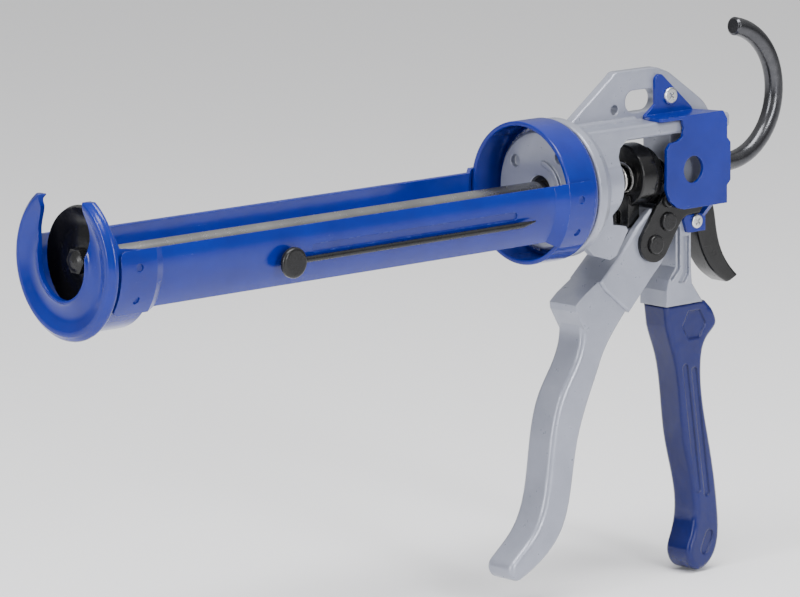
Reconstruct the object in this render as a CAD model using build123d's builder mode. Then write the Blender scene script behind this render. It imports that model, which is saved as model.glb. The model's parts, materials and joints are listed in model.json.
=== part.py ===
from build123d import *
import os
from math import cos, radians, sin

# Caulking gun with a turning cradle, a smooth push rod and a geared-down trigger.
# Millimetres. +X runs from the nozzle end to the hook, +Z is up, -Y is the side with the guard.
# The origin is on the push rod's axis, at the front rim of the cradle's rear ring.

# push rod
ROD_R = 4.0
SLIDE_GAP = 0.06
HOOK_X = 121.5
HOOK_R = 29.3
HOOK_TURN = 172.0
ROD_FRONT = -228.0
TIP_R = 3.0

# cradle
RING_R = 30.0
RING_LENGTH = 17.8
SHEET = 2.0
RING_HOLE_R = 25.3
RAIL_R = 27.4
RAIL_T = 1.5
RAIL_TOP = 13.7
RAIL_BOTTOM = -39.5
SKIRT_R = 28.0
CAP_X = -240.4
CAP_RIM_R = 30.6
TAB_FRONT = -234.5
TAB_FRONT_END = -217.0
TAB_REAR = 13.0
TAB_REAR_START = -1.2
SLOT_R = 14.4

# seal punch
WIRE_R = 1.25
WIRE_X = -150.0
WIRE_Z = -7.0
WIRE_Y = -28.76
STUD_R = 1.6
EYE_R = 3.7

# frame casting
BOSS_X = 11.5
BOSS_R = 25.0
FLANGE_X = 18.1
FLANGE_R = 29.3
HUB_R = 16.0
HUB_X = 46.0
SPRING_BORE_R = 7.6
SPRING_BORE_X = 24.0
BUSH_R = 6.2
BEAM_FRONT = 20.5
BEAM_TOP = 24.1
BEAM_BOTTOM = 18.0
BEAM_HALF = 14.0
FIN_HALF = 2.4
BLOCK_X = 79.5
BLOCK_REAR = 93.0
COLUMN_HALF = 8.0
FRAME_REAR = 109.0
CORE_HALF = 6.0

# trigger and the pieces that turn with it
PIVOT = (74.7, -19.2)
RIVET = (67.2, -28.2)
THRUST_ARM = 9.0
HEAD_HALF = 9.7
LEVER_HALF = 8.0
FORK_HALF = 6.2
LINK_T = 2.0
PIN_R = 3.0

# release lever
RELEASE_PIN = (99.7, 14.6)
RELEASE_PIN_R = 1.5

# drive
DRIVE_X = 58.5
DRIVE_T = 9.0
DRIVE_R = 13.5
COUNTERBORE_R = 7.36
GRIP_PLATE_T = 3.9

# guard
GUARD_Y = -16.0
GUARD_T = 1.5
GUARD_HOLE = (85.6, 2.3)
GUARD_HOLE_R = 5.8
TOP_SCREW = (83.5, 32.8)
LOW_SCREW = (93.5, -21.4)


def side(y):
    """The plane at this Y, seen from the guard's side: sketch x is X, sketch y is Z, normal is -Y."""
    return Plane.XZ.offset(-y)


def save(piece, label):
    piece.part.label = label
    export_step(piece.part, f"parts/{label}.step")


def on_circle(radius, degrees_up):
    """A point of a circle about the rod, as (Y, Z), measured from +Y."""
    return (radius * cos(radians(degrees_up)), radius * sin(radians(degrees_up)))


os.makedirs("parts", exist_ok=True)

# ---------------------------------------------------------------- cradle: rear ring
with BuildPart() as rear_ring:
    with BuildSketch(Plane.XZ):
        with BuildLine():
            corner = SHEET + 1.2
            Polyline(
                (0, RING_R - SHEET),
                (0, RING_R),
                (RING_LENGTH - corner, RING_R),
            )
            RadiusArc((RING_LENGTH - corner, RING_R), (RING_LENGTH, RING_R - corner), corner)
            Polyline(
                (RING_LENGTH, RING_R - corner),
                (RING_LENGTH, RING_HOLE_R),
                (RING_LENGTH - SHEET, RING_HOLE_R),
                (RING_LENGTH - SHEET, RING_R - corner),
            )
            RadiusArc(
                (RING_LENGTH - SHEET, RING_R - corner),
                (RING_LENGTH - corner, RING_R - SHEET),
                -(corner - SHEET),
            )
            Line((RING_LENGTH - corner, RING_R - SHEET), (0, RING_R - SHEET))
        make_face()
    revolve(axis=Axis.X)
    front_rims = rear_ring.edges().group_by(Axis.X)[0]
    fillet(front_rims, 0.6)
save(rear_ring, "rear_ring")


# ---------------------------------------------------------------- cradle: rails
def rail_profile():
    """The lengthwise section of a rail: a strap with a raised tab at each end."""
    low = RAIL_R - RAIL_T
    front = SKIRT_R + 0.05
    rear = RING_R + 0.05
    slope = 4.4
    Polyline(
        (TAB_FRONT, front),
        (TAB_FRONT, front + RAIL_T),
        (TAB_FRONT_END, front + RAIL_T),
        (TAB_FRONT_END + slope, RAIL_R),
        (TAB_REAR_START - slope, RAIL_R),
        (TAB_REAR_START, rear + RAIL_T),
        (TAB_REAR, rear + RAIL_T),
        (TAB_REAR, rear),
        (TAB_REAR_START + 0.6, rear),
        (TAB_REAR_START - slope + 0.6, low),
        (TAB_FRONT_END + slope - 0.6, low),
        (TAB_FRONT_END - 0.6, front),
        close=True,
    )


def make_rail(start, finish):
    """A rail between two angles about the rod, with joggled ends, clinch dimples and a long groove."""
    dimples = ((-225.5, 0.0), (-225.5, -26.0), (5.5, 0.0), (5.5, -26.0))
    towards = -1 if abs(start) > 90 else 1
    with BuildPart() as rail:
        with BuildSketch(Plane.XZ.rotated((start - 90, 0, 0))):
            with BuildLine():
                rail_profile()
            make_face()
        revolve(axis=Axis.X, revolution_arc=finish - start)
        ends = rail.edges().filter_by(lambda e: abs(e.length - RAIL_T) < 0.01)
        tips = ends.group_by(Axis.X)[0] + ends.group_by(Axis.X)[-1]
        fillet(tips, 3.0)
        for x, up in dimples:
            outer = (SKIRT_R if x < 0 else RING_R) + 0.05 + RAIL_T
            angle = radians(up)
            place = Plane(
                origin=(x, towards * outer * cos(angle), outer * sin(angle)),
                z_dir=(0, towards * cos(angle), sin(angle)),
            )
            with BuildSketch(place):
                Circle(1.7)
            extrude(amount=-0.8, mode=Mode.SUBTRACT, taper=20)
        groove = Plane(
            origin=(-82.0, towards * RAIL_R * cos(radians(-7)), RAIL_R * sin(radians(-7))),
            x_dir=(1, 0, 0),
            z_dir=(0, towards * cos(radians(-7)), sin(radians(-7))),
        )
        with BuildSketch(groove):
            SlotOverall(110, 3.4)
        extrude(amount=-0.6, mode=Mode.SUBTRACT)
        if towards < 0:
            # only the near rail carries the seal punch
            with BuildSketch(side(-20.0)):
                with Locations((WIRE_X, WIRE_Z)):
                    Circle(STUD_R + 0.02)
            extrude(amount=10.0, mode=Mode.SUBTRACT)
    return rail


rail_far = make_rail(RAIL_BOTTOM, RAIL_TOP)
save(rail_far, "rail_far")
rail_near = make_rail(180 - RAIL_TOP, 180 - RAIL_BOTTOM)
save(rail_near, "rail_near")

# ---------------------------------------------------------------- cradle: front cap
with BuildPart() as front_cap:
    with BuildSketch(Plane.XZ):
        with BuildLine():
            Line((-217.5, SKIRT_R - SHEET), (-217.5, SKIRT_R))
            Line((-217.5, SKIRT_R), (-234.8, SKIRT_R))
            Spline(
                (-234.8, SKIRT_R),
                (-236.2, CAP_RIM_R - 0.7),
                (-238.2, CAP_RIM_R),
                (-239.8, CAP_RIM_R - 1.6),
                (CAP_X, CAP_RIM_R - 4.0),
                tangents=((-1, 0), (0.1, -1)),
            )
            Spline(
                (CAP_X, CAP_RIM_R - 4.0),
                (-238.9, 22.0),
                (-239.2, 18.0),
                (-240.8, SLOT_R + 0.8),
                tangents=((0.35, -1), (-0.9, -0.6)),
            )
            Line((-240.8, SLOT_R + 0.8), (-240.5, SLOT_R - 1.0))
            Line((-240.5, SLOT_R - 1.0), (-239.0, SLOT_R - 1.0))
            Spline(
                (-239.0, SLOT_R - 1.0),
                (-237.4, 18.0),
                (-237.1, 22.0),
                (-238.0, CAP_RIM_R - 4.4),
                tangents=((0.6, 1), (-0.3, 1)),
            )
            Spline(
                (-238.0, CAP_RIM_R - 4.4),
                (-237.0, CAP_RIM_R - 2.4),
                (-232.0, SKIRT_R - SHEET),
                tangents=((-0.1, 1), (1, -0.1)),
            )
            Line((-232.0, SKIRT_R - SHEET), (-217.5, SKIRT_R - SHEET))
        make_face()
    revolve(axis=Axis.X)
    # the slot that takes the cartridge's nozzle, open at the top
    with BuildSketch(Plane.YZ.offset(CAP_X - 5)):
        Circle(SLOT_R)
        with BuildLine():
            Line((SLOT_R, 0), (-SLOT_R, 0))
            Spline((-SLOT_R, 0), (-15.9, 12.6), (-13.3, 20.6), tangents=((0, 1), (0.3, 1)))
            Polyline((-13.3, 20.6), (-13.6, 25.2), (-24.0, 25.2), (-24.0, 40.0), (24.0, 40.0))
            Polyline((24.0, 40.0), (24.0, 25.2), (13.6, 25.2), (13.3, 20.6))
            Spline((13.3, 20.6), (15.9, 12.6), (SLOT_R, 0), tangents=((0.3, -1), (0, -1)))
        make_face()
    extrude(amount=40, mode=Mode.SUBTRACT)
    # the skirt is cut away above the rails, where the cartridge drops in
    with BuildSketch(side(40)):
        with BuildLine():
            Polyline(
                (-237.4, 30.0),
                (-235.6, 20.0),
                (-233.2, 8.0),
                (-215.0, 5.6),
                (-215.0, 40.0),
                (-237.4, 40.0),
                close=True,
            )
        make_face()
    extrude(amount=80, mode=Mode.SUBTRACT)
save(front_cap, "front_cap")

# ---------------------------------------------------------------- seal punch
with BuildPart() as punch_stud:
    with BuildSketch(side(-24.4)):
        with Locations((WIRE_X, WIRE_Z)):
            Circle(STUD_R)
    extrude(amount=6.4)
    with BuildSketch(side(-30.3)):
        with Locations((WIRE_X, WIRE_Z)):
            Circle(6.2)
    extrude(amount=2.2)
    fillet(punch_stud.faces().sort_by(Axis.Y)[0].edges(), 1.4)
save(punch_stud, "punch_stud")

with BuildPart() as punch_wire:
    with BuildSketch(side(WIRE_Y + WIRE_R)):
        with Locations((WIRE_X, WIRE_Z)):
            Circle(EYE_R)
            Circle(STUD_R + 0.08, mode=Mode.SUBTRACT)
    extrude(amount=2 * WIRE_R)
    fillet(punch_wire.edges().filter_by(GeomType.CIRCLE).filter_by(lambda e: e.radius > 3), 0.8)
    with BuildSketch(Plane.YZ.offset(WIRE_X + STUD_R + 1.0)):
        with Locations((WIRE_Y, WIRE_Z)):
            Circle(WIRE_R)
    extrude(amount=122.0)
    tip = Plane.YZ.offset(WIRE_X + STUD_R + 123.0)
    with BuildSketch(tip) as tip_base:
        with Locations((WIRE_Y, WIRE_Z)):
            Circle(WIRE_R)
    with BuildSketch(tip.offset(7.0)):
        with Locations((WIRE_Y, WIRE_Z + 0.7)):
            Circle(0.35)
    loft()
save(punch_wire, "punch_wire")

# ---------------------------------------------------------------- push rod
with BuildPart() as push_rod:
    with BuildSketch(Plane.YZ.offset(ROD_FRONT)):
        Circle(ROD_R)
    extrude(amount=HOOK_X - ROD_FRONT)
    with BuildLine() as hook_line:
        ThreePointArc(
            (HOOK_X, 0, 0),
            (HOOK_X + HOOK_R, 0, HOOK_R),
            (
                HOOK_X + HOOK_R * sin(radians(HOOK_TURN)),
                0,
                HOOK_R - HOOK_R * cos(radians(HOOK_TURN)),
            ),
        )
    with BuildSketch(Plane.YZ.offset(HOOK_X)):
        Circle(ROD_R)
    sweep(path=hook_line.line)
    hook_end = push_rod.faces().filter_by(GeomType.PLANE).sort_by(Axis.Z)[-1]
    chamfer(hook_end.edges(), 0.8)
    # the turned-down nose that carries the piston
    with BuildSketch(Plane.YZ.offset(ROD_FRONT)):
        Circle(TIP_R)
    extrude(amount=-5.8)
save(push_rod, "push_rod")

PISTON_R = 20.8

with BuildPart() as piston:
    with BuildSketch(Plane.XZ):
        with BuildLine():
            Polyline((-228.4, TIP_R + SLIDE_GAP), (-230.6, TIP_R + SLIDE_GAP), (-230.6, 6.0))
            Spline(
                (-230.6, 6.0),
                (-230.0, 10.5),
                (-229.2, 15.0),
                (-231.2, PISTON_R),
                tangents=((0.1, 1), (-0.6, 1)),
            )
            Line((-231.2, PISTON_R), (-229.6, PISTON_R + 0.7))
            Spline(
                (-229.6, PISTON_R + 0.7),
                (-227.6, 15.0),
                (-228.4, 7.0),
                tangents=((0.6, -1), (-0.4, -1)),
            )
            Line((-228.4, 7.0), (-228.4, TIP_R + SLIDE_GAP))
        make_face()
    revolve(axis=Axis.X)
save(piston, "piston")

with BuildPart() as piston_nut:
    with BuildSketch(Plane.YZ.offset(-233.9)):
        RegularPolygon(radius=5.3, side_count=6)
        Circle(TIP_R, mode=Mode.SUBTRACT)
    extrude(amount=3.2)
    with BuildSketch(Plane.XZ):
        with BuildLine():
            Polyline((-233.9, 0), (-235.0, 0), (-234.7, 2.6), (-233.9, 4.2), close=True)
        make_face()
    revolve(axis=Axis.X)
save(piston_nut, "piston_nut")

# ---------------------------------------------------------------- frame casting
GROOVE_X0 = 14.2
GROOVE_X1 = 15.5
GROOVE_R = 23.6


def handle_outline(grow):
    """The grip's outline, grown by this much all round: a slim neck, a hump behind it and a flared foot."""
    g = grow
    Line((77.2 - g, -53.0), (78.9 - g, -66.0))
    Spline(
        (78.9 - g, -66.0),
        (83.2 - g, -78.0),
        (89.8 - g, -118.0),
        (95.8 - g, -150.0),
        (93.6 - g, -159.5),
        (91.4 - g, -167.0),
        (96.5, -174.6 - g),
        (104.5 + 0.7 * g, -172.6 - 0.7 * g),
        (109.9 + g, -163.0),
        (110.1 + g, -152.0),
        (104.8 + g, -119.3),
        (99.8 + g, -84.0),
        (103.4 + g, -73.4),
        (108.8 + g, -67.4),
        (107.4 + g, -62.8),
        (99.6 + g, -54.6),
        tangents=((0.25, -1), (-0.75, 0.75)),
    )
    Line((99.6 + g, -54.6), (77.2 - g, -53.0))


with BuildPart() as frame_casting:
    # turned front end: boss, ring groove, flange and hub
    with BuildSketch(Plane.XZ):
        with BuildLine():
            Polyline(
                (BOSS_X, 0),
                (BOSS_X, BOSS_R - 1.0),
                (BOSS_X + 1.0, BOSS_R),
                (GROOVE_X0, BOSS_R),
                (GROOVE_X0, GROOVE_R),
                (GROOVE_X1, GROOVE_R),
                (GROOVE_X1, BOSS_R),
                (FLANGE_X, BOSS_R),
                (FLANGE_X, FLANGE_R - 0.6),
                (FLANGE_X + 0.6, FLANGE_R),
                (FLANGE_X + 4.2, FLANGE_R),
                (FLANGE_X + 8.4, FLANGE_R - 2.3),
                (FLANGE_X + 11.0, FLANGE_R - 8.0),
                (FLANGE_X + 14.0, HUB_R),
                (HUB_X - 1.2, HUB_R),
                (HUB_X, HUB_R - 1.2),
                (HUB_X, 0),
                close=True,
            )
        make_face()
    revolve(axis=Axis.X)
    # raised rib round the bore and two cored pockets on the front face
    with BuildSketch(Plane.YZ.offset(BOSS_X)):
        with BuildLine():
            CenterArc((0, 0), 10.7, 100, 130)
            CenterArc((0, 0), 12.9, 100, 130)
            Line(on_circle(10.7, 100), on_circle(12.9, 100))
            Line(on_circle(10.7, 230), on_circle(12.9, 230))
        make_face()
    extrude(amount=-1.2)
    with BuildSketch(Plane.YZ.offset(BOSS_X)):
        with Locations(*[on_circle(18.6, up) for up in (36, 128, 232, 308)]):
            Circle(2.6)
    extrude(amount=2.2, mode=Mode.SUBTRACT)
    # top beam, running from the flange over the window to the rear
    with BuildSketch(Plane.YZ.offset(BEAM_FRONT)):
        with Locations((0, (BEAM_TOP + BEAM_BOTTOM) / 2)):
            RectangleRounded(2 * BEAM_HALF, BEAM_TOP - BEAM_BOTTOM, 1.6)
    extrude(amount=FRAME_REAR - BEAM_FRONT)
    with BuildSketch(side(BEAM_HALF)):
        with BuildLine():
            Polyline(
                (BEAM_FRONT, 2.0),
                (BEAM_FRONT, BEAM_TOP - 2.0),
                (52.0, BEAM_TOP - 2.0),
                (47.6, BEAM_BOTTOM),
                (44.4, BEAM_BOTTOM - 2.4),
                (43.4, 12.0),
                (44.6, 8.0),
                (46.0, 2.0),
                close=True,
            )
        make_face()
    extrude(amount=2 * BEAM_HALF)
    # fin on top
    with BuildSketch(side(FIN_HALF)):
        with BuildLine():
            Polyline((24.0, BEAM_TOP - 1), (26.0, 25.6), (50.8, 43.4))
            Spline((50.8, 43.4), (52.6, 44.9), (55.2, 45.5), tangents=((0.8, 0.6), (1, 0)))
            Line((55.2, 45.5), (75.5, 45.5))
            Spline((75.5, 45.5), (80.4, 44.4), (86.0, 41.9), tangents=((1, 0), (0.84, -0.55)))
            Line((86.0, 41.9), (101.0, 31.6))
            Spline((101.0, 31.6), (105.6, 28.0), (108.6, BEAM_TOP), tangents=((0.82, -0.57), (0.5, -0.85)))
            Polyline((108.6, BEAM_TOP), (108.6, BEAM_TOP - 1), (24.0, BEAM_TOP - 1))
        make_face()
    extrude(amount=2 * FIN_HALF)
    crest = frame_casting.edges().filter_by_position(Axis.Z, 25.0, 46.0)
    crest = crest.filter_by(lambda e: abs(abs(e.center().Y) - FIN_HALF) < 0.01 and e.center().X > 30)
    fillet(crest, 0.8)
    with BuildSketch(Plane.YZ.offset(29.0)):
        with BuildLine():
            Line((-4.0, BEAM_TOP - 0.5), (-4.0, BEAM_TOP))
            RadiusArc((-4.0, BEAM_TOP), (-FIN_HALF, BEAM_TOP + 1.6), 1.6)
            Line((-FIN_HALF, BEAM_TOP + 1.6), (FIN_HALF, BEAM_TOP + 1.6))
            RadiusArc((FIN_HALF, BEAM_TOP + 1.6), (4.0, BEAM_TOP), 1.6)
            Polyline((4.0, BEAM_TOP), (4.0, BEAM_TOP - 0.5), (-4.0, BEAM_TOP - 0.5))
        make_face()
    extrude(amount=35.0)
    with BuildSketch(side(FIN_HALF)):
        with Locations((67.6, 32.2)):
            RectangleRounded(18.0, 9.4, 4.5)
        with Locations((52.3, 29.6)):
            Circle(2.15)
    extrude(amount=2 * FIN_HALF, mode=Mode.SUBTRACT)
    # two lugs under the hub, one each side of the trigger, with a web across their front
    for y_high in (BEAM_HALF, -10.2):
        with BuildSketch(side(y_high)):
            with BuildLine():
                Polyline(
                    (21.0, 0.0),
                    (45.0, 0.0),
                    (43.0, -9.0),
                    (39.8, -12.4),
                    (40.2, -16.4),
                    (47.6, -17.8),
                    (48.9, -19.6),
                    (42.0, -29.6),
                    (38.4, -31.0),
                    (29.0, -28.2),
                    (25.0, -24.6),
                    (21.0, -18.0),
                    close=True,
                )
            make_face()
        extrude(amount=BEAM_HALF - 10.2)
    with BuildSketch(side(11.0)):
        with BuildLine():
            Polyline((21.0, 0), (30.0, 0), (30.0, -27.0), (26.5, -25.8), (21.0, -18.0), close=True)
        make_face()
    extrude(amount=22.0)
    # rear block round the rod, the pivot tongue and the column down to the grip
    with BuildSketch(side(COLUMN_HALF)):
        with BuildLine():
            Polyline(
                (BLOCK_X, BEAM_BOTTOM + 1),
                (BLOCK_X, -9.5),
                (83.0, -13.0),
                (83.0, -40.5),
                (79.0, -45.5),
                (77.6, -50.0),
                (77.4, -57.0),
                (99.0, -57.0),
                (92.6, -48.4),
                (92.0, -42.0),
                (92.0, -20.0),
                (BLOCK_REAR, -16.0),
                (BLOCK_REAR, BEAM_BOTTOM + 1),
                close=True,
            )
        make_face()
    extrude(amount=2 * COLUMN_HALF)
    # cored pockets with a rib between them on the column's sides
    for y_high, depth in ((COLUMN_HALF, 1.6), (-COLUMN_HALF, -1.6)):
        with BuildSketch(side(y_high)):
            with BuildLine():
                Polyline((83.9, -23.0), (85.6, -23.0), (85.6, -41.5), (80.6, -46.4))
                Polyline((80.6, -46.4), (79.9, -44.6), (83.9, -40.6), (83.9, -23.0))
            make_face()
            with BuildLine():
                Polyline((87.2, -27.5), (91.0, -27.5), (91.0, -44.0), (88.6, -47.6))
                Polyline((88.6, -47.6), (84.4, -47.2), (87.2, -42.5), (87.2, -27.5))
            make_face()
        extrude(amount=depth, mode=Mode.SUBTRACT)
    with BuildSketch(side(5.5)):
        with Locations(PIVOT):
            Circle(5.6)
        with BuildLine():
            Polyline((74.7, -24.6), (90.0, -30.0), (90.0, -12.0), (74.7, -13.8), close=True)
        make_face()
    extrude(amount=11.0)
    # cheeks that close the pocket behind the block, where the release lever stands
    for y_high in (COLUMN_HALF, -6.4):
        with BuildSketch(side(y_high)):
            with BuildLine():
                Polyline(
                    (BLOCK_REAR - 1, BEAM_BOTTOM + 0.5),
                    (BLOCK_REAR - 1, -14.5),
                    (99.0, -14.5),
                    (FRAME_REAR - 1.0, -8.0),
                    (FRAME_REAR - 1.0, BEAM_BOTTOM + 0.5),
                    close=True,
                )
            make_face()
        extrude(amount=COLUMN_HALF - 6.4)
    # core inside the grip
    with BuildSketch(side(CORE_HALF)):
        with BuildLine():
            handle_outline(-1.6)
        make_face()
    extrude(amount=2 * CORE_HALF)
    # bores along the rod
    for x, radius, depth in (
        (BOSS_X - 2, BUSH_R, 21.0 - BOSS_X + 2),
        (20.0, ROD_R + 0.6, 6.0),
        (SPRING_BORE_X, SPRING_BORE_R, 30.0),
        (BLOCK_X - 1, BUSH_R, BLOCK_REAR - BLOCK_X + 2),
    ):
        with BuildSketch(Plane.YZ.offset(x)):
            Circle(radius)
        extrude(amount=depth, mode=Mode.SUBTRACT)
    # holes across: pivot pin and the two guard screws
    for place, radius, y_from, y_to in (
        (RELEASE_PIN, RELEASE_PIN_R + 0.01, COLUMN_HALF + 1, -COLUMN_HALF - 1),
        (PIVOT, PIN_R + 0.05, 7.0, -7.0),
        (TOP_SCREW, 1.75, FIN_HALF + 1, -FIN_HALF - 1),
        (LOW_SCREW, 1.75, -2.0, -COLUMN_HALF - 1),
    ):
        with BuildSketch(side(y_from)):
            with Locations(place):
                Circle(radius)
        extrude(amount=y_from - y_to, mode=Mode.SUBTRACT)
save(frame_casting, "frame_casting")

with BuildPart() as grip_sleeve:
    with BuildSketch(side(CORE_HALF + 1.5)):
        with BuildLine():
            handle_outline(0.0)
        make_face()
    extrude(amount=2 * CORE_HALF + 3.0)
    rims = grip_sleeve.edges().filter_by(lambda e: abs(abs(e.center().Y) - CORE_HALF - 1.5) < 0.01)
    rims = rims.filter_by(lambda e: e.center().Z < -58)
    fillet(rims, 2.4)
    with BuildSketch(side(CORE_HALF + 0.05)):
        with BuildLine():
            handle_outline(-1.55)
        make_face()
    extrude(amount=2 * CORE_HALF + 0.1, mode=Mode.SUBTRACT)
    # the sleeve's mouth, where the core joins the column
    with BuildSketch(side(CORE_HALF + 3)):
        with BuildLine():
            Polyline((70.0, -57.4), (70.0, -50.0), (120.0, -50.0), (120.0, -56.0), (99.0, -57.4))
            Line((99.0, -57.4), (70.0, -57.4))
        make_face()
    extrude(amount=2 * CORE_HALF + 6, mode=Mode.SUBTRACT)
    # sunk flutes and a six-sided pocket on each side
    for y_high, depth in ((CORE_HALF + 1.5, 0.7), (-CORE_HALF - 1.5, -0.7)):
        with BuildSketch(side(y_high)):
            with Locations((93.2, -112.0), (98.6, -114.0)):
                SlotOverall(58.0, 3.2, rotation=-82)
            with Locations((94.6, -66.6)):
                RegularPolygon(radius=7.0, side_count=6)
            with Locations((102.4, -163.0)):
                SlotOverall(11.0, 4.6, rotation=65)
        extrude(amount=depth, mode=Mode.SUBTRACT)
save(grip_sleeve, "grip_sleeve")

with BuildPart() as retaining_ring:
    with BuildSketch(Plane.YZ.offset(GROOVE_X0 + 0.05)):
        Circle(26.7)
        Circle(GROOVE_R + 0.1, mode=Mode.SUBTRACT)
        with Locations((0, -26)):
            Rectangle(7, 8, mode=Mode.SUBTRACT)
    extrude(amount=GROOVE_X1 - GROOVE_X0 - 0.1)
save(retaining_ring, "retaining_ring")

with BuildPart() as front_bushing:
    with BuildSketch(Plane.YZ.offset(13.4)):
        Circle(BUSH_R - 0.02)
        Circle(ROD_R + SLIDE_GAP, mode=Mode.SUBTRACT)
    extrude(amount=7.4)
save(front_bushing, "front_bushing")

with BuildPart() as rear_bushing:
    with BuildSketch(Plane.YZ.offset(BLOCK_X + 0.1)):
        Circle(BUSH_R - 0.02)
        Circle(ROD_R + SLIDE_GAP, mode=Mode.SUBTRACT)
    extrude(amount=BLOCK_REAR - BLOCK_X - 0.2)
save(rear_bushing, "rear_bushing")

# ---------------------------------------------------------------- guard and its screws
with BuildPart() as guard:
    with BuildSketch(side(GUARD_Y + GUARD_T)):
        with BuildLine():
            Polyline(
                (78.4, BEAM_TOP + 1.5),
                (80.2, 20.4),
                (79.2, 16.6),
                (76.6, 15.2),
                (72.0, 14.6),
                (69.9, 12.0),
                (69.6, -5.0),
                (71.8, -9.8),
                (75.9, -13.1),
                (80.0, -14.2),
                (105.8, -14.2),
                (105.8, -6.6),
                (107.9, -4.6),
                (107.9, 11.7),
                (105.9, 13.9),
                (105.9, 22.0),
                (103.5, BEAM_TOP + 1.5),
                close=True,
            )
        make_face()
        fillet([v for v in vertices() if 13.0 < v.Z < 23.0 and v.X < 81], 1.6)
        with Locations(GUARD_HOLE):
            Circle(GUARD_HOLE_R, mode=Mode.SUBTRACT)
    extrude(amount=GUARD_T)
    # shelf over the beam
    with BuildSketch(Plane.XY.offset(BEAM_TOP + 0.05)):
        with BuildLine():
            Polyline(
                (69.0, -FIN_HALF - 0.05),
                (66.5, -9.0),
                (66.5, GUARD_Y + 1.0),
                (67.5, GUARD_Y),
                (103.5, GUARD_Y),
                (98.0, -FIN_HALF - 0.05),
                close=True,
            )
        make_face()
    extrude(amount=1.45)
    # tab screwed to the fin
    with BuildSketch(side(-FIN_HALF - 0.05)):
        with BuildLine():
            Polyline((69.0, BEAM_TOP + 1.5), (75.0, 30.0), (75.0, 39.6))
            ThreePointArc((75.0, 39.6), (76.2, 42.0), (79.0, 42.2))
            Polyline((79.0, 42.2), (96.4, 27.0), (98.0, BEAM_TOP + 0.05), (69.0, BEAM_TOP + 0.05))
            Line((69.0, BEAM_TOP + 0.05), (69.0, BEAM_TOP + 1.5))
        make_face()
        with Locations(TOP_SCREW):
            Circle(1.9, mode=Mode.SUBTRACT)
    extrude(amount=GUARD_T)
    # bracket from the lower edge in to the column, and the tab screwed there
    with BuildSketch(Plane.YZ.offset(96.9)):
        with BuildLine():
            Polyline(
                (GUARD_Y + GUARD_T, -10.6),
                (GUARD_Y + GUARD_T, -14.2),
                (-9.6, -19.6),
                (-9.6, -26.0),
                (-8.1, -26.0),
                (-8.1, -18.4),
                (-12.6, -12.6),
                close=True,
            )
        make_face()
    extrude(amount=2.2)
    with BuildSketch(side(-COLUMN_HALF - 0.05)):
        with BuildLine():
            Polyline((86.2, -20.2), (88.4, -26.0), (99.1, -26.0), (99.1, -18.4), (87.6, -18.4), close=True)
        make_face()
        fillet(vertices(), 1.2)
        with Locations(LOW_SCREW):
            Circle(1.9, mode=Mode.SUBTRACT)
    extrude(amount=GUARD_T)
save(guard, "guard")

TOP_SEAT = -FIN_HALF - 0.05 - GUARD_T
LOW_SEAT = -COLUMN_HALF - 0.05 - GUARD_T

with BuildPart() as guard_screws:
    for place, seat, length in ((TOP_SCREW, TOP_SEAT, 5.6), (LOW_SCREW, LOW_SEAT, 6.0)):
        with BuildSketch(side(seat)):
            with Locations(place):
                Circle(1.65)
        extrude(amount=-length)
        with BuildSketch(side(seat)):
            with Locations(place):
                Circle(3.7 if place is TOP_SCREW else 3.1)
        extrude(amount=1.3)
    heads = guard_screws.edges().filter_by(GeomType.CIRCLE)
    heads = heads.filter_by(lambda e: e.radius > 2.5).group_by(Axis.Y)
    for rim in (heads[0], heads[2]):
        fillet(rim, 0.8)
    for place, seat in ((TOP_SCREW, TOP_SEAT), (LOW_SCREW, LOW_SEAT)):
        with BuildSketch(side(seat - 1.3)):
            with Locations(place):
                Rectangle(3.4, 0.8, rotation=45)
                Rectangle(3.4, 0.8, rotation=135)
        extrude(amount=-0.8, mode=Mode.SUBTRACT)
save(guard_screws, "guard_screws")

# ---------------------------------------------------------------- drive
with BuildPart() as drive_block:
    with BuildSketch(Plane.YZ.offset(DRIVE_X)):
        with Locations((0, 0.8)):
            Circle(DRIVE_R)
    extrude(amount=DRIVE_T)
    fillet(drive_block.edges().filter_by(GeomType.CIRCLE), 0.9)
    with BuildSketch(Plane.YZ.offset(DRIVE_X - 1.2)):
        with Locations((0, -14.0)):
            RectangleRounded(10.8, 14.0, 1.6)
    extrude(amount=6.4)
    with BuildSketch(Plane.YZ.offset(DRIVE_X - 1.2)):
        with Locations((0.6, -16.6)):
            SlotOverall(6.0, 3.0, rotation=90)
    extrude(amount=1.6, mode=Mode.SUBTRACT)
    with BuildSketch(Plane.YZ.offset(DRIVE_X - 2)):
        Circle(COUNTERBORE_R)
    extrude(amount=7.0, mode=Mode.SUBTRACT)
    with BuildSketch(Plane.YZ.offset(DRIVE_X)):
        Circle(ROD_R + 0.08)
    extrude(amount=DRIVE_T + 1, mode=Mode.SUBTRACT)
save(drive_block, "drive_block")

with BuildPart() as grip_plate:
    with BuildSketch(Plane.YZ.offset(DRIVE_X + DRIVE_T + 0.3)):
        Circle(12.3)
        Circle(ROD_R + 0.08, mode=Mode.SUBTRACT)
    extrude(amount=GRIP_PLATE_T)
    fillet(grip_plate.edges().filter_by(lambda e: e.length > 70), 0.7)
save(grip_plate, "grip_plate")


def coil(start, length, mean_radius, wire_radius, turns):
    """A compression spring round the rod, its wire's ends cut square."""
    with BuildPart() as spring:
        with BuildLine() as line:
            Helix(
                pitch=length / turns,
                height=length,
                radius=mean_radius,
                center=(start, 0, 0),
                direction=(1, 0, 0),
            )
        with BuildSketch(Plane(origin=line.line @ 0, z_dir=line.line % 0)):
            Circle(wire_radius)
        sweep(is_frenet=True)
    return spring


main_spring = coil(25.0, 37.6, 6.3, 0.75, 9)
save(main_spring, "main_spring")
release_spring = coil(93.6, 3.7, 5.2, 0.5, 2.5)
save(release_spring, "release_spring")

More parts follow.
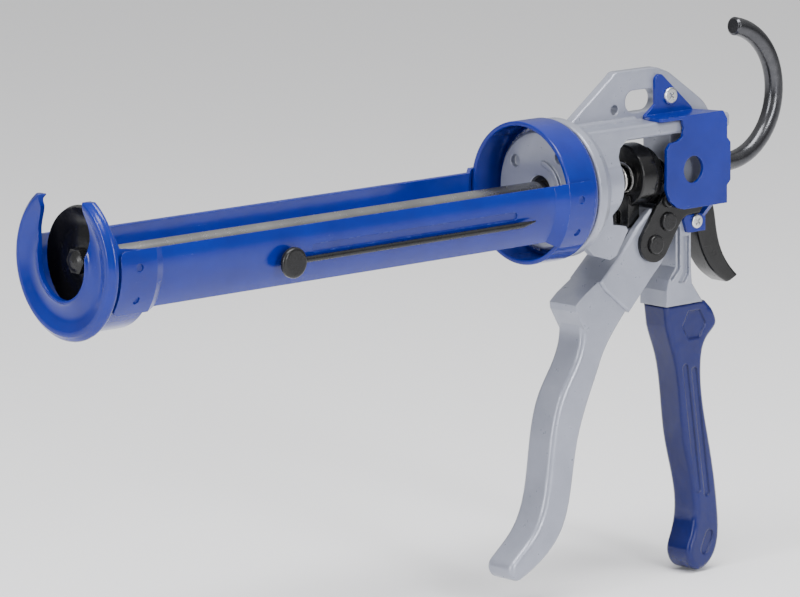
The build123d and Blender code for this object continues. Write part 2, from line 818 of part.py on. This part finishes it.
# ---------------------------------------------------------------- trigger
with BuildPart() as trigger_lever:
    # the bowed lever itself, up to the lip under the head
    with BuildSketch(side(LEVER_HALF)):
        with BuildLine():
            Polyline((62.6, -47.5), (62.6, -40.0), (38.6, -40.0), (28.2, -46.2), (24.2, -49.4))
            Line((24.2, -49.4), (24.4, -52.4))
            Line((24.4, -52.4), (28.0, -58.6))
            Spline(
                (28.0, -58.6),
                (16.2, -87.0),
                (8.2, -121.6),
                (-0.2, -143.4),
                (-11.8, -153.6),
                tangents=((0.1, -1), (-0.75, -0.65)),
            )
            TangentArc((-11.8, -153.6), (-7.4, -162.0), tangent=(-0.75, -0.65))
            Spline(
                (-7.4, -162.0),
                (15.8, -145.4),
                (26.8, -104.9),
                (37.0, -80.9),
                (62.6, -47.5),
                tangents=((0.85, 0.35), (0.7, 0.7)),
            )
        make_face()
    extrude(amount=2 * LEVER_HALF)
    long_sides = trigger_lever.edges().filter_by(lambda e: abs(abs(e.center().Y) - LEVER_HALF) < 0.01)
    long_sides = long_sides.filter_by(lambda e: e.center().Z < -60 and e.length > 30)
    fillet(long_sides, 2.6)
    # the wider head
    with BuildSketch(side(HEAD_HALF)):
        with BuildLine():
            Polyline(
                (71.0, -13.2),
                (66.6, -13.2),
                (58.0, -20.8),
                (49.6, -30.0),
                (42.4, -36.4),
                (37.0, -41.2),
                (40.0, -45.0),
                (54.0, -56.0),
                (62.6, -47.5),
                (67.4, -42.6),
                (73.4, -37.2),
                (78.6, -29.0),
                (80.0, -22.0),
                (78.6, -14.6),
                close=True,
            )
        make_face()
    extrude(amount=2 * HEAD_HALF)
    bevel = trigger_lever.edges().filter_by(lambda e: abs(abs(e.center().Y) - HEAD_HALF) < 0.01)
    chamfer(bevel, 0.8)
    # fork that straddles the drive block's leg and the frame's tongue
    with BuildSketch(side(FORK_HALF)):
        with BuildLine():
            Polyline((48.0, -8.0), (48.0, -24.0), (62.0, -31.5), (90.0, -31.5), (90.0, -8.0), close=True)
        make_face()
    extrude(amount=2 * FORK_HALF, mode=Mode.SUBTRACT)
    for place in (PIVOT, RIVET):
        with BuildSketch(side(HEAD_HALF + 1)):
            with Locations(place):
                Circle(PIN_R + 0.02)
        extrude(amount=2 * HEAD_HALF + 2, mode=Mode.SUBTRACT)
save(trigger_lever, "trigger_lever")

THRUST = (PIVOT[0], PIVOT[1] + THRUST_ARM)


def link_plate(y_high):
    with BuildPart() as plate:
        with BuildSketch(side(y_high)):
            with BuildLine():
                Polyline((72.6, -7.0), (71.2, -9.6), (68.0, -12.4), (59.2, -24.4))
                ThreePointArc((59.2, -24.4), (64.4, -35.4), (74.4, -31.6))
                Polyline(
                    (74.4, -31.6),
                    (80.2, -23.2),
                    (83.0, -19.2),
                    (86.4, -17.6),
                    (94.0, -17.4),
                    (95.4, -13.0),
                    (92.0, -9.4),
                    (83.0, -7.6),
                    (78.6, -7.2),
                    (76.0, -6.5),
                    (72.6, -7.0),
                )
            make_face()
            fillet([v for v in vertices() if v.Z > -20 and v.X > 75], 1.4)
            with Locations(PIVOT, RIVET):
                Circle(PIN_R + 0.02, mode=Mode.SUBTRACT)
            with Locations(THRUST):
                Circle(2.22, mode=Mode.SUBTRACT)
        extrude(amount=LINK_T)
    return plate


link_plate_near = link_plate(-HEAD_HALF)
save(link_plate_near, "link_plate_near")
link_plate_far = link_plate(HEAD_HALF + LINK_T)
save(link_plate_far, "link_plate_far")


def cross_pin(place, radius, head_radius):
    """A pin through both link plates with a domed head on each side."""
    reach = HEAD_HALF + LINK_T
    with BuildPart() as pin:
        with BuildSketch(side(reach)):
            with Locations(place):
                Circle(radius)
        extrude(amount=2 * reach)
        for y_high in (reach + 1.4, -reach):
            with BuildSketch(side(y_high)):
                with Locations(place):
                    Circle(head_radius)
            extrude(amount=1.4)
        rims = pin.edges().filter_by(GeomType.CIRCLE).group_by(Axis.Y)
        fillet(rims[0] + rims[-1], 0.9)
    return pin


pivot_pin = cross_pin(PIVOT, PIN_R, 4.1)
save(pivot_pin, "pivot_pin")
trigger_rivet = cross_pin(RIVET, PIN_R, 4.1)
save(trigger_rivet, "trigger_rivet")
thrust_pin = cross_pin(THRUST, 2.2, 3.0)
save(thrust_pin, "thrust_pin")

# ---------------------------------------------------------------- release lever
RELEASE_HALF = 5.6

with BuildPart() as release_lever:
    with BuildSketch(side(RELEASE_HALF)):
        with BuildLine():
            Polyline((101.4, RELEASE_PIN[1]), (98.0, RELEASE_PIN[1]), (98.0, -12.0))
            Spline(
                (98.0, -12.0),
                (99.2, -27.0),
                (105.5, -41.5),
                (117.0, -51.2),
                tangents=((0, -1), (0.9, -0.5)),
            )
            Line((117.0, -51.2), (123.2, -48.4))
            Spline(
                (123.2, -48.4),
                (114.0, -37.0),
                (111.0, -28.0),
                (107.6, -14.0),
                (101.4, -6.6),
                tangents=((-0.8, 0.7), (-0.6, 0.75)),
            )
            Line((101.4, -6.6), (101.4, RELEASE_PIN[1]))
        make_face()
        with Locations(RELEASE_PIN):
            Circle(2.7)
        with Locations(RELEASE_PIN):
            Circle(RELEASE_PIN_R + 0.05, mode=Mode.SUBTRACT)
    extrude(amount=2 * RELEASE_HALF)
    flanks = release_lever.edges().filter_by(lambda e: abs(abs(e.center().Y) - RELEASE_HALF) < 0.01)
    flanks = flanks.filter_by(lambda e: e.center().Z < -15 and e.length > 20)
    fillet(flanks, 1.6)
    with BuildSketch(Plane.YZ.offset(90)):
        Circle(ROD_R + 0.3)
    extrude(amount=20, mode=Mode.SUBTRACT)
save(release_lever, "release_lever")

with BuildPart() as release_pin:
    with BuildSketch(side(COLUMN_HALF)):
        with Locations(RELEASE_PIN):
            Circle(RELEASE_PIN_R)
    extrude(amount=2 * COLUMN_HALF)
save(release_pin, "release_pin")
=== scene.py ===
import json
import math

import bpy
from mathutils import Matrix, Vector


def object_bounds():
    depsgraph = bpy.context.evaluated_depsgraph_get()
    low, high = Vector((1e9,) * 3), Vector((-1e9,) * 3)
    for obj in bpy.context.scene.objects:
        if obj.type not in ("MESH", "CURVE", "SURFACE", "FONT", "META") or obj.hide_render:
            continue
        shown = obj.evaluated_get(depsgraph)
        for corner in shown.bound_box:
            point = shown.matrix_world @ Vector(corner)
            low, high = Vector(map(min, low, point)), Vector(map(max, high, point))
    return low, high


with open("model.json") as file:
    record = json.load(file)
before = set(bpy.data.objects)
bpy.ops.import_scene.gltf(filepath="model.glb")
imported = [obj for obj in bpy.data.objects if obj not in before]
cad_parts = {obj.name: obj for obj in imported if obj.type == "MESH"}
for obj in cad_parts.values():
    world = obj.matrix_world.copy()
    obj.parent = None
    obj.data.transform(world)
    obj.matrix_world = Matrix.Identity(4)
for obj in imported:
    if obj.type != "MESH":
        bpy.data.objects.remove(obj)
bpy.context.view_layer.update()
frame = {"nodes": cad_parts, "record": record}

NODES = frame["nodes"]

# Lengths are in metres. Noise scales are per metre, over each object's own coordinates.
BROAD_SCALE = 38.0
CLOUD_SCALE = 260.0
MARK_SCALE = 60.0
RIPPLE_SCALE = 170.0
MARK_STRETCH = (0.7, 9.0, 9.0)

# The stretch of a noise or a measure over which a mask goes from none to full.
BROAD_BAND = (0.35, 0.7)
CLOUD_BAND = (0.3, 0.75)
GLOSS_BAND = (0.3, 0.72)
CHIP_BAND = (0.5, 0.62)
MARK_BAND = (0.64, 0.7)
EDGE_BAND = (0.985, 0.86)
# the band along X over which the rod darkens into its painted rear shade
REAR_SHADE_BAND = (0.085, 0.1)

# How far each mask changes the colour or the roughness.
CLOUD_TINT = 0.22
SCUFF_TINT = 0.35
SCUFF_ROUGHNESS = 0.3
RUBBED_ROUGHNESS = 0.2

BEVEL_SAMPLES = 6
WIDE_BEVEL = 1.8
COAT_ROUGHNESS = 0.06

# Each material slot's look: its main, deeper and worn-through colour, then its surface.
LOOKS = {
    "blue_enamel": dict(
        colour=(0.0022, 0.0125, 0.2),
        deep=(0.0016, 0.009, 0.15),
        worn=(0.04, 0.075, 0.34),
        roughness=(0.14, 0.26),
        coat=0.08,
        specular=0.34,
        grain=1400.0,
        height=0.000012,
        wear=0.5,
        ripple=0.00006,
    ),
    "casting": dict(
        colour=(0.29, 0.305, 0.37),
        deep=(0.235, 0.25, 0.31),
        worn=(0.55, 0.55, 0.58),
        roughness=(0.26, 0.4),
        metallic=0.4,
        coat=0.3,
        grain=900.0,
        height=0.00004,
        wear=0.35,
        round_off=0.0009,
        ripple=0.00012,
        scratch=0.1,
    ),
    "black_paint": dict(
        colour=(0.005, 0.005, 0.0055),
        deep=(0.0028, 0.0028, 0.003),
        worn=(0.06, 0.06, 0.06),
        roughness=(0.16, 0.3),
        coat=0.05,
        specular=0.36,
        grain=1100.0,
        height=0.00003,
        wear=0.45,
        round_off=0.0006,
        ripple=0.0001,
    ),
    "black_steel": dict(
        colour=(0.009, 0.009, 0.0095),
        deep=(0.005, 0.005, 0.0055),
        worn=(0.12, 0.12, 0.12),
        roughness=(0.22, 0.36),
        metallic=0.1,
        specular=0.36,
        grain=1200.0,
        height=0.00002,
        wear=0.5,
        round_off=0.0003,
    ),
    "rod_steel": dict(
        colour=(0.3, 0.3, 0.3),
        deep=(0.2, 0.2, 0.205),
        worn=(0.5, 0.5, 0.5),
        # painted shade on the rod from the rear block back, not a different metal
        rear_shade=(0.06, 0.061, 0.067),
        roughness=(0.2, 0.3),
        metallic=0.95,
        grain=1500.0,
        height=0.000006,
        wear=0.2,
        brushed=(0.05, 1.0, 1.0),
        scratch=0.1,
    ),
    "spring_wire": dict(
        colour=(0.62, 0.61, 0.58),
        deep=(0.45, 0.44, 0.42),
        worn=(0.8, 0.8, 0.8),
        roughness=(0.16, 0.28),
        metallic=1.0,
        grain=2500.0,
        height=0.000008,
        wear=0.2,
        round_off=0.0001,
    ),
    "zinc": dict(
        colour=(0.66, 0.67, 0.68),
        deep=(0.5, 0.51, 0.52),
        worn=(0.85, 0.85, 0.85),
        roughness=(0.18, 0.34),
        metallic=1.0,
        grain=1800.0,
        height=0.000015,
        wear=0.3,
        round_off=0.0002,
    ),
    "vinyl": dict(
        colour=(0.0016, 0.006, 0.09),
        deep=(0.0012, 0.0045, 0.07),
        worn=(0.02, 0.035, 0.18),
        roughness=(0.12, 0.22),
        coat=0.05,
        specular=0.36,
        grain=700.0,
        height=0.00002,
        wear=0.15,
        round_off=0.0014,
        ripple=0.0003,
    ),
}

FLOOR_SIZE = 24.0
FLOOR_GAP = 0.001
FLOOR_COLOUR = (0.86, 0.86, 0.87, 1.0)
FLOOR_ROUGHNESS = 0.7

SKY_LOW = (0.22, 0.225, 0.24)
SKY_HIGH = (1.0, 1.0, 1.0)
SKY_BAND = (-0.05, 0.8)
SKY_STRENGTH = 0.95

# The camera's direction from the object in degrees, azimuth 0 being square on to the guard's side,
# then its lens in millimetres and its place: how far back, and how far left of and below the origin.
AZIMUTH = -41.7321
ELEVATION = 10.1591
ROLL = -0.6297
SENSOR_WIDTH = 36.0
LENS = 225.124
BACK = 2.069976
LEFT = 0.0496275
BELOW = 0.043531
CLIP_START = 0.05
CLIP_END = 100.0


# ---------------------------------------------------------------- shader helpers
def link(tree, source, target):
    tree.links.new(source, target)


def noise(tree, vector, scale, detail, rough, stretch=None):
    """Noise over a vector; stretch scales the vector first, axis by axis."""
    if stretch:
        mapping = tree.nodes.new("ShaderNodeMapping")
        mapping.inputs["Scale"].default_value = stretch
        link(tree, vector, mapping.inputs["Vector"])
        vector = mapping.outputs["Vector"]
    node = tree.nodes.new("ShaderNodeTexNoise")
    node.inputs["Scale"].default_value = scale
    node.inputs["Detail"].default_value = detail
    node.inputs["Roughness"].default_value = rough
    link(tree, vector, node.inputs["Vector"])
    return node.outputs["Fac"]


def remap(tree, value, band, low, high):
    """Goes from low to high as the value crosses the band, and stays level outside it."""
    node = tree.nodes.new("ShaderNodeMapRange")
    node.inputs["From Min"].default_value = band[0]
    node.inputs["From Max"].default_value = band[1]
    node.inputs["To Min"].default_value = low
    node.inputs["To Max"].default_value = high
    link(tree, value, node.inputs["Value"])
    return node.outputs["Result"]


def maths(tree, operation, a, b):
    """A sum or product kept between 0 and 1."""
    node = tree.nodes.new("ShaderNodeMath")
    node.operation = operation
    node.use_clamp = True
    for socket, value in zip(node.inputs, (a, b)):
        if isinstance(value, (int, float)):
            socket.default_value = value
        else:
            link(tree, value, socket)
    return node.outputs["Value"]


def mix(tree, factor, a, b):
    """Colour a where the factor is 0 and colour b where it is 1."""
    node = tree.nodes.new("ShaderNodeMix")
    node.data_type = "RGBA"
    link(tree, factor, node.inputs["Factor"])
    for socket, value in ((node.inputs["A"], a), (node.inputs["B"], b)):
        if isinstance(value, tuple):
            socket.default_value = (*value, 1.0)
        else:
            link(tree, value, socket)
    return node.outputs["Result"]


def bevel_normal(tree, radius):
    """The normal of the surface with its edges rounded to a radius."""
    node = tree.nodes.new("ShaderNodeBevel")
    node.samples = BEVEL_SAMPLES
    node.inputs["Radius"].default_value = radius
    return node.outputs["Normal"]


def bump(tree, height, distance, normal):
    """A normal with relief of a given depth added to it."""
    node = tree.nodes.new("ShaderNodeBump")
    node.inputs["Strength"].default_value = 1.0
    node.inputs["Distance"].default_value = distance
    link(tree, height, node.inputs["Height"])
    link(tree, normal, node.inputs["Normal"])
    return node.outputs["Normal"]


def edge_mask(tree, radius):
    """Full where the rounded normal leaves the face's own, which is at the edges."""
    rounded = bevel_normal(tree, radius)
    geometry = tree.nodes.new("ShaderNodeNewGeometry")
    dot = tree.nodes.new("ShaderNodeVectorMath")
    dot.operation = "DOT_PRODUCT"
    link(tree, rounded, dot.inputs[0])
    link(tree, geometry.outputs["Normal"], dot.inputs[1])
    return remap(tree, dot.outputs["Value"], EDGE_BAND, 0.0, 1.0)


# ---------------------------------------------------------------- finishes
def finish_of(
    name,
    colour,
    deep,
    worn,
    roughness,
    grain,
    height,
    wear,
    metallic=0.0,
    coat=0.0,
    specular=0.5,
    scratch=0.25,
    ripple=0.0,
    round_off=0.0004,
    brushed=None,
    rear_shade=None,
):
    """A finish with mottled tone, fine grain, wiped scratches and rubbed edges."""
    material = bpy.data.materials.new(name)
    material.use_nodes = True
    tree = material.node_tree
    tree.nodes.clear()
    out = tree.nodes.new("ShaderNodeOutputMaterial")
    shader = tree.nodes.new("ShaderNodeBsdfPrincipled")
    link(tree, shader.outputs["BSDF"], out.inputs["Surface"])
    where = tree.nodes.new("ShaderNodeTexCoord").outputs["Object"]

    broad = noise(tree, where, BROAD_SCALE, 4.0, 0.6)
    cloud = noise(tree, where, CLOUD_SCALE, 5.0, 0.65)
    fine = noise(tree, where, grain, 3.0, 0.55, brushed)
    wiped = noise(tree, where, MARK_SCALE, 6.0, 0.7, MARK_STRETCH)
    marks = remap(tree, wiped, MARK_BAND, 0.0, 1.0)

    edge = edge_mask(tree, round_off * WIDE_BEVEL)
    chips = remap(tree, cloud, CHIP_BAND, 0.0, wear)
    rubbed = maths(tree, "MULTIPLY", edge, chips)
    scuffed = maths(tree, "MULTIPLY", marks, scratch)

    tone = mix(tree, remap(tree, broad, BROAD_BAND, 0.0, 1.0), colour, deep)
    if rear_shade:
        # painted shade: the rod is darker from the rear block back, a stretch that only ever slides
        # out of the frame, so the cradle length looks lit
        along = tree.nodes.new("ShaderNodeSeparateXYZ")
        link(tree, where, along.inputs["Vector"])
        tone = mix(tree, remap(tree, along.outputs["X"], REAR_SHADE_BAND, 0.0, 1.0), tone, rear_shade)
    tone = mix(tree, remap(tree, cloud, CLOUD_BAND, 0.0, CLOUD_TINT), tone, deep)
    tone = mix(tree, maths(tree, "MULTIPLY", scuffed, SCUFF_TINT), tone, worn)
    tone = mix(tree, rubbed, tone, worn)
    link(tree, tone, shader.inputs["Base Color"])

    rough = remap(tree, cloud, GLOSS_BAND, roughness[0], roughness[1])
    rough = maths(tree, "ADD", rough, maths(tree, "MULTIPLY", scuffed, SCUFF_ROUGHNESS))
    rough = maths(tree, "ADD", rough, maths(tree, "MULTIPLY", rubbed, RUBBED_ROUGHNESS))
    link(tree, rough, shader.inputs["Roughness"])
    shader.inputs["Metallic"].default_value = metallic
    shader.inputs["Specular IOR Level"].default_value = specular
    shader.inputs["Coat Weight"].default_value = coat
    shader.inputs["Coat Roughness"].default_value = COAT_ROUGHNESS

    swell = noise(tree, where, RIPPLE_SCALE, 2.0, 0.4)
    soft = bump(tree, swell, ripple, bevel_normal(tree, round_off))
    link(tree, bump(tree, fine, height, soft), shader.inputs["Normal"])
    link(tree, soft, shader.inputs["Coat Normal"])
    return material


finishes = {name: finish_of(name, **look) for name, look in LOOKS.items()}
for part in frame["record"]["subparts"]:
    node = NODES[part["node"]]
    node.data.materials.clear()
    node.data.materials.append(finishes[part["material_slot"]])

# ---------------------------------------------------------------- floor
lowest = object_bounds()[0].z
bpy.ops.mesh.primitive_plane_add(size=FLOOR_SIZE, location=(0, 0, lowest - FLOOR_GAP))
floor = bpy.context.object
floor.name = "floor"
pale = bpy.data.materials.new("floor")
pale.use_nodes = True
sheen = pale.node_tree.nodes["Principled BSDF"]
sheen.inputs["Base Color"].default_value = FLOOR_COLOUR
sheen.inputs["Roughness"].default_value = FLOOR_ROUGHNESS
floor.data.materials.append(pale)

# ---------------------------------------------------------------- light
world = bpy.data.worlds.new("studio")
bpy.context.scene.world = world
world.use_nodes = True
sky = world.node_tree
direction = sky.nodes.new("ShaderNodeTexCoord")
axes = sky.nodes.new("ShaderNodeSeparateXYZ")
link(sky, direction.outputs["Generated"], axes.inputs["Vector"])
glow = mix(sky, remap(sky, axes.outputs["Z"], SKY_BAND, 0.0, 1.0), SKY_LOW, SKY_HIGH)
link(sky, glow, sky.nodes["Background"].inputs["Color"])
sky.nodes["Background"].inputs["Strength"].default_value = SKY_STRENGTH


def area(name, where, towards, size, power):
    """A soft rectangular light, its size given across and down."""
    data = bpy.data.lights.new(name, "AREA")
    data.shape = "RECTANGLE"
    data.size, data.size_y = size
    data.energy = power
    lamp = bpy.data.objects.new(name, data)
    bpy.context.collection.objects.link(lamp)
    lamp.location = where
    lamp.rotation_mode = "QUATERNION"
    lamp.rotation_quaternion = (Vector(towards) - Vector(where)).to_track_quat("-Z", "Y")


area("top", where=(-0.1, -0.35, 1.2), towards=(0, 0, 0), size=(1.1, 0.5), power=24.0)
area("left", where=(-1.6, -0.1, 0.5), towards=(0, 0, 0), size=(0.35, 1.1), power=20.0)
area("front", where=(-0.25, -1.7, 0.5), towards=(0, 0, -0.03), size=(0.3, 1.0), power=22.0)

# ---------------------------------------------------------------- camera
azimuth, elevation, roll = (math.radians(angle) for angle in (AZIMUTH, ELEVATION, ROLL))
back = Vector(
    (
        math.sin(azimuth) * math.cos(elevation),
        -math.cos(azimuth) * math.cos(elevation),
        math.sin(elevation),
    )
)
level = Vector((math.cos(azimuth), math.sin(azimuth), 0.0))
upright = back.cross(level)
right = math.cos(roll) * level + math.sin(roll) * upright
up = -math.sin(roll) * level + math.cos(roll) * upright
camera_data = bpy.data.cameras.new("camera")
camera_data.sensor_width = SENSOR_WIDTH
camera_data.lens = LENS
camera_data.clip_start = CLIP_START
camera_data.clip_end = CLIP_END
camera = bpy.data.objects.new("camera", camera_data)
bpy.context.collection.objects.link(camera)
turn = Matrix((right, up, back)).transposed().to_4x4()
camera.matrix_world = Matrix.Translation(back * BACK - right * LEFT - up * BELOW) @ turn
bpy.context.scene.camera = camera
